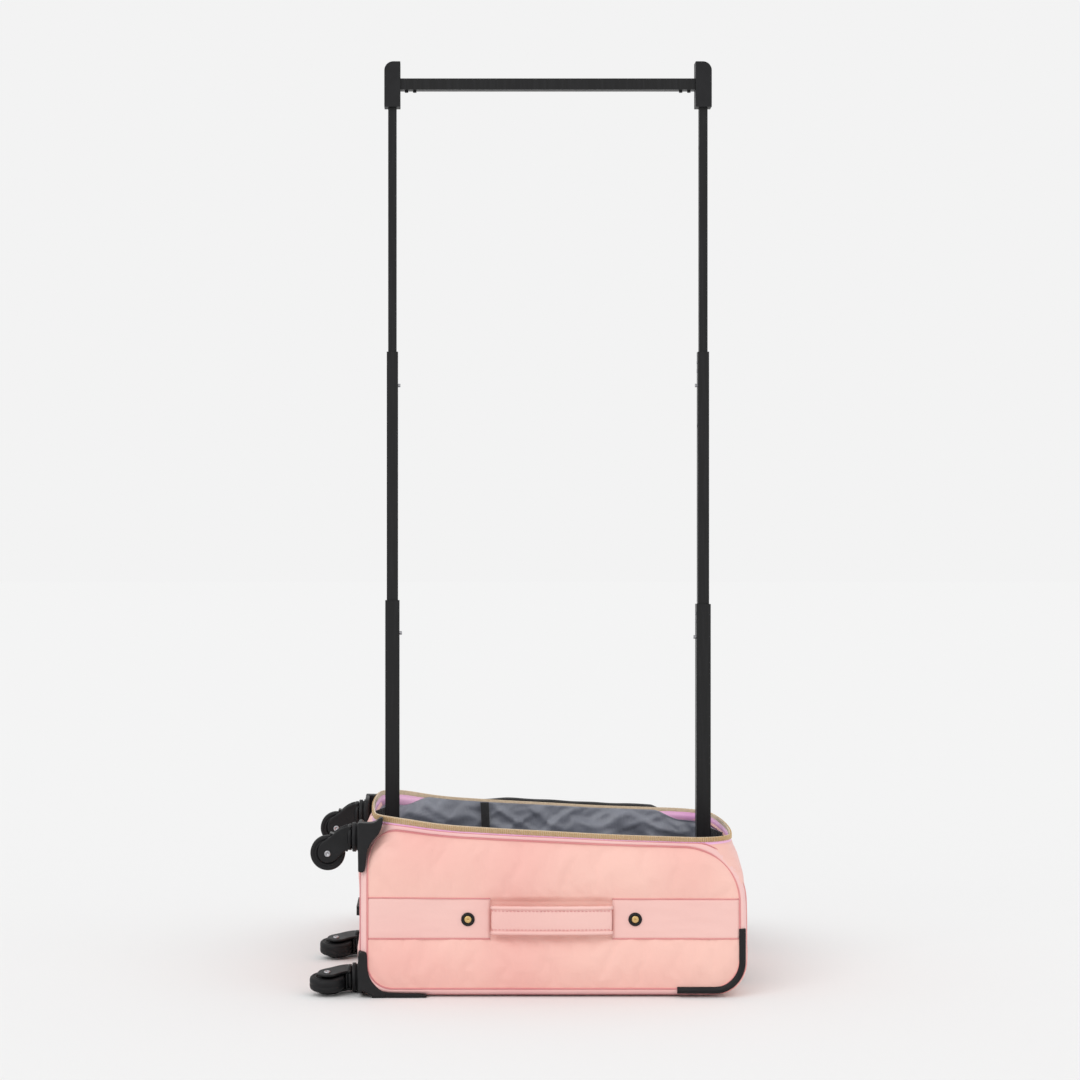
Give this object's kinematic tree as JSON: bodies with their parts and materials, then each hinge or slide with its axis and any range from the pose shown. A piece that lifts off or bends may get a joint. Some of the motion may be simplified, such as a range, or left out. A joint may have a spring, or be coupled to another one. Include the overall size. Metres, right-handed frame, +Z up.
{
  "type": "rolling case with garment rack",
  "caption": "Soft-sided wheeled case lying open on its back, with a telescoping square-tube garment rack standing out of it on two posts.",
  "frame": {"origin": "on the floor under the middle of the case's length and width", "axes": "+Z up, +X towards the head end with the wheels at -X, -Y the side with the carry handle"},
  "size_m": [0.5701, 0.6743, 1.2254],
  "materials": {
    "pink_shell": "coated woven fabric with a soft pearly pink sheen",
    "piping": "rose-pink fabric-covered cord piping",
    "gusset": "lilac-pink iridescent zip gusset",
    "lining": "grey polyester lining, slightly wrinkled",
    "hinge_tape": "black bound tape",
    "webbing": "black woven webbing",
    "zip_teeth": "gold-coloured zip teeth",
    "board": "stiff plastic board",
    "trim_black": "smooth black ring",
    "brass": "polished yellow metal",
    "moulded_black": "fine-textured black moulding",
    "rack_plastic": "black moulding",
    "rack_tube": "satin black powder coat",
    "button_steel": "bright steel",
    "trolley_metal": "anodised",
    "button_plastic": "grey button",
    "fork_black": "black nylon",
    "axle_steel": "bright zinc",
    "wheel_rubber": "black polyurethane"
  },
  "bodies": {
    "case": {"near_side_panel": "pink_shell", "far_side_panel": "pink_shell", "foot_panel": "pink_shell", "back_panel": "pink_shell", "head_panel": "pink_shell", "side_piping": "piping", "rim_gusset": "gusset", "rim_zipper": "zip_teeth", "rim_stiffener": "board", "handle_bands": "pink_shell", "near_side_handle": "pink_shell", "head_handle": "pink_shell", "eyelet_rings": "trim_black", "eyelet_centres": "brass", "head_corner_guards": "moulded_black", "lower_wheel_housings": "moulded_black", "upper_wheel_housings": "moulded_black", "bottom_grip": "moulded_black", "lining": "lining", "floor_board": "board", "lining_strap": "webbing", "post_sockets": "rack_plastic", "post_straps": "webbing", "trolley_outer_tubes": "trolley_metal", "trolley_cup": "moulded_black"},
    "trolley_middle": {"trolley_middle_tubes": "trolley_metal"},
    "trolley_inner": {"trolley_inner_tubes": "trolley_metal", "trolley_grip": "moulded_black"},
    "trolley_button": {"trolley_button": "button_plastic"},
    "rack_lower": {"left_lower_tube": "rack_tube", "right_lower_tube": "rack_tube", "lower_tube_rivets": "rack_tube"},
    "left_middle": {"left_middle_tube": "rack_tube"},
    "right_middle": {"right_middle_tube": "rack_tube", "middle_tube_rivets": "rack_tube"},
    "rack_top": {"left_upper_tube": "rack_tube", "right_upper_tube": "rack_tube", "rack_connectors": "rack_plastic", "crossbar": "rack_tube", "crossbar_studs": "rack_tube"},
    "lid": {"lid_panel": "pink_shell", "lid_piping": "piping", "lid_zipper": "zip_teeth", "lid_hinge_tape": "hinge_tape"},
    "left_lower_button": {"left_lower_button": "button_steel"},
    "left_middle_button": {"left_middle_button": "button_steel"},
    "right_lower_button": {"right_lower_button": "button_steel"},
    "right_middle_button": {"right_middle_button": "button_steel"},
    "near_upper_fork": {"near_upper_fork": "fork_black", "near_upper_axle": "axle_steel"},
    "near_upper_wheel": {"near_upper_wheel": "wheel_rubber"},
    "far_upper_fork": {"far_upper_fork": "fork_black", "far_upper_axle": "axle_steel"},
    "far_upper_wheel": {"far_upper_wheel": "wheel_rubber"},
    "near_lower_fork": {"near_lower_fork": "fork_black", "near_lower_axle": "axle_steel"},
    "near_lower_wheel": {"near_lower_wheel": "wheel_rubber"},
    "far_lower_fork": {"far_lower_fork": "fork_black", "far_lower_axle": "axle_steel"},
    "far_lower_wheel": {"far_lower_wheel": "wheel_rubber"}
  },
  "joints": [
    {"name": "lid_hinge", "type": "hinge", "parent": "case", "child": "lid", "pos_m": [0, 0.1775, 0.207], "axis": [0.998, 0, -0.0626], "range_deg": [0, 142], "deforming": ["lid_hinge_tape"]},
    {"name": "rack_lift", "type": "slide", "parent": "case", "child": "rack_lower", "axis": [0, 0, 1], "range_m": [0, 0.055]},
    {"name": "left_middle_slide", "type": "slide", "parent": "rack_lower", "child": "left_middle", "axis": [0, 0, 1], "range_m": [-0.284, 0]},
    {"name": "right_middle_slide", "type": "slide", "parent": "rack_lower", "child": "right_middle", "axis": [0, 0, 1], "range_m": [-0.284, 0]},
    {"name": "rack_top_slide", "type": "slide", "parent": "left_middle", "child": "rack_top", "axis": [0, 0, 1], "range_m": [-0.32, 0]},
    {"name": "trolley_middle_slide", "type": "slide", "parent": "case", "child": "trolley_middle", "axis": [1, 0, 0], "range_m": [0, 0.36]},
    {"name": "trolley_inner_slide", "type": "slide", "parent": "trolley_middle", "child": "trolley_inner", "axis": [1, 0, 0], "range_m": [0, 0.36]},
    {"name": "trolley_button_press", "type": "slide", "parent": "trolley_inner", "child": "trolley_button", "axis": [-1, 0, 0], "range_m": [0, 0.002], "stiffness_N_per_m": 600, "springref_m": -0.002},
    {"name": "left_lower_button_press", "type": "slide", "parent": "rack_lower", "child": "left_lower_button", "axis": [-1, 0, 0], "range_m": [0, 0.002], "stiffness_N_per_m": 600, "springref_m": -0.002},
    {"name": "left_middle_button_press", "type": "slide", "parent": "left_middle", "child": "left_middle_button", "axis": [-1, 0, 0], "range_m": [0, 0.002], "stiffness_N_per_m": 600, "springref_m": -0.002},
    {"name": "right_lower_button_press", "type": "slide", "parent": "rack_lower", "child": "right_lower_button", "axis": [1, 0, 0], "range_m": [0, 0.002], "stiffness_N_per_m": 600, "springref_m": -0.002},
    {"name": "right_middle_button_press", "type": "slide", "parent": "right_middle", "child": "right_middle_button", "axis": [1, 0, 0], "range_m": [0, 0.002], "stiffness_N_per_m": 600, "springref_m": -0.002},
    {"name": "near_upper_swivel", "type": "hinge", "parent": "case", "child": "near_upper_fork", "pos_m": [-0.258, -0.135, 0.2], "axis": [1, 0, 0], "continuous": true},
    {"name": "near_upper_spin", "type": "hinge", "parent": "near_upper_fork", "child": "near_upper_wheel", "pos_m": [-0.2896, -0.135, 0.18], "axis": [0, 1, 0], "continuous": true},
    {"name": "far_upper_swivel", "type": "hinge", "parent": "case", "child": "far_upper_fork", "pos_m": [-0.258, 0.135, 0.2], "axis": [1, 0, 0], "continuous": true},
    {"name": "far_upper_spin", "type": "hinge", "parent": "far_upper_fork", "child": "far_upper_wheel", "pos_m": [-0.2896, 0.135, 0.18], "axis": [0, 1, 0], "continuous": true},
    {"name": "near_lower_swivel", "type": "hinge", "parent": "case", "child": "near_lower_fork", "pos_m": [-0.258, -0.135, 0.019], "axis": [1, 0, 0], "continuous": true},
    {"name": "near_lower_spin", "type": "hinge", "parent": "near_lower_fork", "child": "near_lower_wheel", "pos_m": [-0.2896, -0.1548, 0.01622], "axis": [0, 0.1392, -0.9903], "continuous": true},
    {"name": "far_lower_swivel", "type": "hinge", "parent": "case", "child": "far_lower_fork", "pos_m": [-0.258, 0.135, 0.019], "axis": [1, 0, 0], "continuous": true},
    {"name": "far_lower_spin", "type": "hinge", "parent": "far_lower_fork", "child": "far_lower_wheel", "pos_m": [-0.2896, 0.1152, 0.01622], "axis": [0, 0.1392, -0.9903], "continuous": true}
  ],
  "couplings": [
    {"joint": "right_middle_slide", "follows": "left_middle_slide", "ratio": 1}
  ]
}
